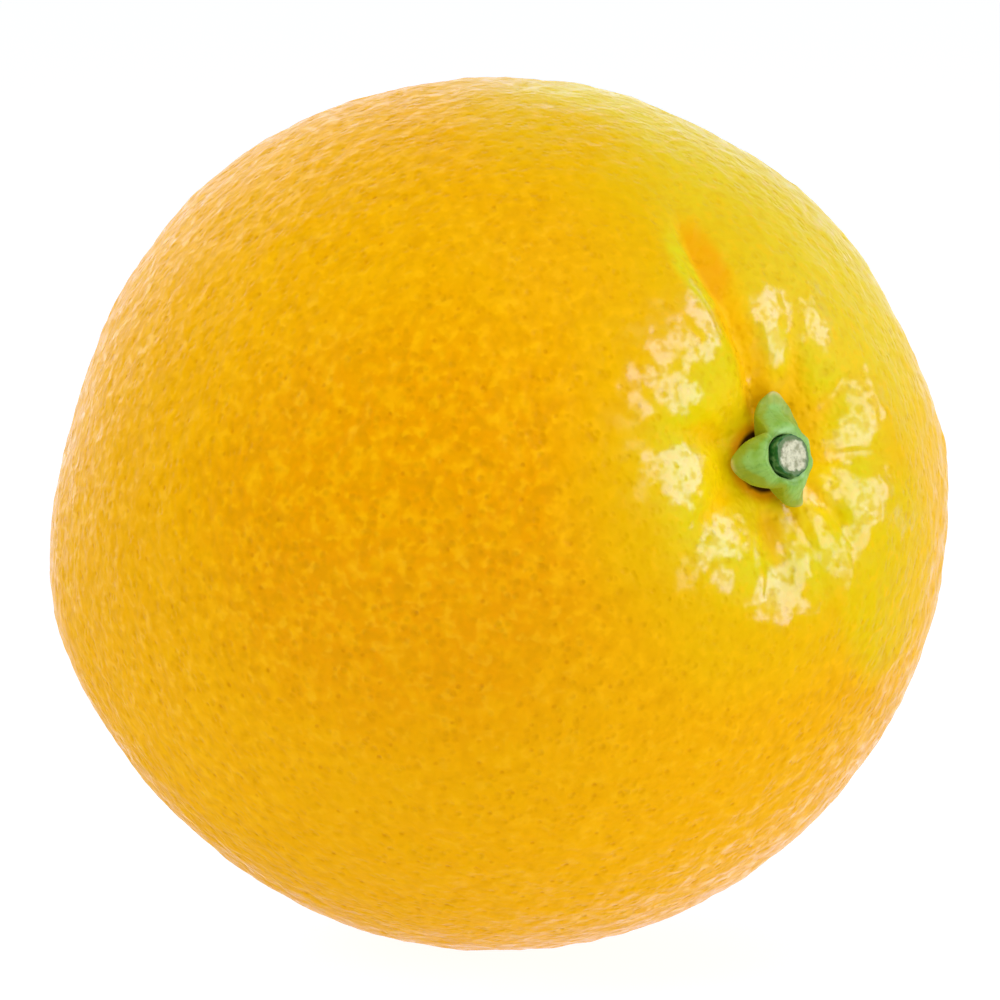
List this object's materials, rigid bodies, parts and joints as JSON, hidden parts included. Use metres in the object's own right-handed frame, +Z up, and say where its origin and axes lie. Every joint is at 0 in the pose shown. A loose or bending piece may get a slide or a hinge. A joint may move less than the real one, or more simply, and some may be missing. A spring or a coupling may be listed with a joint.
{
  "type": "orange",
  "caption": "Whole sweet orange lying on its side, with a puckered stem basin, a green calyx and a cut stem stub, resting on a small flat spot.",
  "frame": {"origin": "middle of the underside of the orange's box, on the surface that it lies on", "axes": "+Z up; the stem end faces -Y and points 13 degrees above the surface; +X to the right seen from the stem end"},
  "size_m": [0.078, 0.0826, 0.0777],
  "materials": {
    "peel": "waxy orange rind, finely pitted with oil glands, satin gloss",
    "calyx": "soft green, matte",
    "cut_stem": "pale cut wood with green-grey bark, matte"
  },
  "bodies": {
    "root": {"fruit": "peel", "calyx": "calyx", "stem_stub": "cut_stem"}
  },
  "joints": []
}
